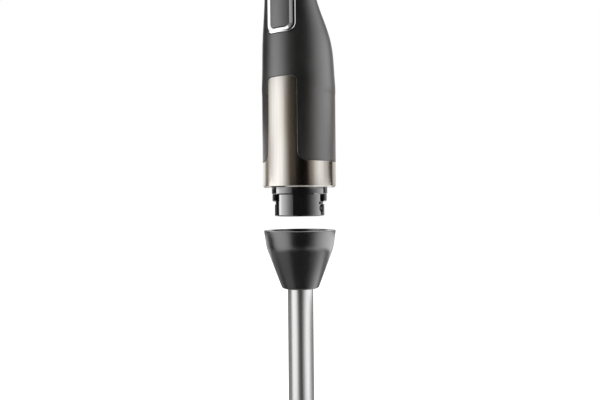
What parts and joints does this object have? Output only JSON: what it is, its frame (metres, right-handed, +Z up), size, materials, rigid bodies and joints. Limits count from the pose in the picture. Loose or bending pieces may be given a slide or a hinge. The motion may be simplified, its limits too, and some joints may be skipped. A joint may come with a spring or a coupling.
{
  "type": "immersion blender",
  "caption": "Hand-held immersion blender: a soft-touch motor handle with a metal band and chrome-framed buttons, and a bayonet shaft with a steel tube, guard and blade.",
  "frame": {"origin": "on the motor axis at the middle of the grip, where a hand holds it", "axes": "+Z up along the motor axis towards the cord end, -Y towards the buttons, +X to the right of the front"},
  "size_m": [0.067, 0.067, 0.4748],
  "materials": {
    "soft_touch": "soft-touch, fine grain",
    "bronze": "brushed, bronze tint",
    "chrome": "bright chrome",
    "button_grey": "satin",
    "gloss_black": "gloss",
    "satin_black": "satin",
    "stainless": "satin",
    "steel": "ground",
    "laminations": "stamped",
    "copper": "enamelled wire",
    "brass": "plain",
    "carbon": "plain",
    "rubber": "plain",
    "board_green": "lacquered",
    "bracket_white": "moulded"
  },
  "bodies": {
    "motor_unit": {"main_housing": "soft_touch", "metal_sleeve": "bronze", "button_bezel": "chrome", "control_board": "board_green", "micro_switches": "satin_black", "top_cap": "soft_touch", "speed_control": "bracket_white", "cord_gland": "rubber", "coupling_base": "gloss_black", "base_screws": "steel", "lower_bracket": "bracket_white", "upper_bracket": "bracket_white", "lower_mount": "rubber", "upper_mount": "rubber", "lower_bearing": "steel", "upper_bearing": "steel", "stator_core": "laminations", "field_coils": "copper", "brush_holders": "brass", "carbon_brushes": "carbon", "brush_springs": "steel", "turbo_button_spring": "steel", "power_button_spring": "steel"},
    "turbo_button": {"turbo_button": "button_grey"},
    "power_button": {"power_button": "button_grey"},
    "speed_dial": {"speed_dial": "satin_black"},
    "rotor": {"motor_shaft": "steel", "armature_core": "laminations", "armature_windings": "copper", "commutator": "copper", "cooling_fan": "satin_black", "drive_socket": "satin_black"},
    "shaft_slider": {"upper_bush": "brass"},
    "blending_shaft": {"shaft_collar": "satin_black", "steel_tube": "stainless", "blade_guard": "stainless", "lower_bush": "brass", "shaft_seal": "rubber"},
    "blade_drive": {"drive_dog": "satin_black", "drive_rod": "steel", "retaining_ring": "steel", "blade": "stainless", "blade_nut": "stainless"}
  },
  "joints": [
    {"name": "shaft_slide", "type": "slide", "parent": "motor_unit", "child": "shaft_slider", "axis": [0, 0, 1], "range_m": [0, 0.0364]},
    {"name": "shaft_twist", "type": "hinge", "parent": "shaft_slider", "child": "blending_shaft", "pos_m": [0, 0, -0.2217], "axis": [0, 0, -1], "range_deg": [0, 45]},
    {"name": "motor_spin", "type": "hinge", "parent": "motor_unit", "child": "rotor", "pos_m": [0, 0, -0.135], "axis": [0, 0, 1], "continuous": true},
    {"name": "blade_spin", "type": "hinge", "parent": "blending_shaft", "child": "blade_drive", "pos_m": [0, 0, -0.3217], "axis": [0, 0, 1], "continuous": true},
    {"name": "turbo_press", "type": "slide", "parent": "motor_unit", "child": "turbo_button", "axis": [0, 1, 0], "range_m": [0, 0.003], "stiffness_N_per_m": 900, "deforming": ["turbo_button_spring"]},
    {"name": "power_press", "type": "slide", "parent": "motor_unit", "child": "power_button", "axis": [0, 1, 0], "range_m": [0, 0.003], "stiffness_N_per_m": 900, "deforming": ["power_button_spring"]},
    {"name": "dial_turn", "type": "hinge", "parent": "motor_unit", "child": "speed_dial", "pos_m": [0, -0.0137, 0.045], "axis": [0, 0, 1], "range_deg": [-135, 135]}
  ],
  "couplings": [
    {"joint": "blade_spin", "follows": "motor_spin", "ratio": 1}
  ]
}
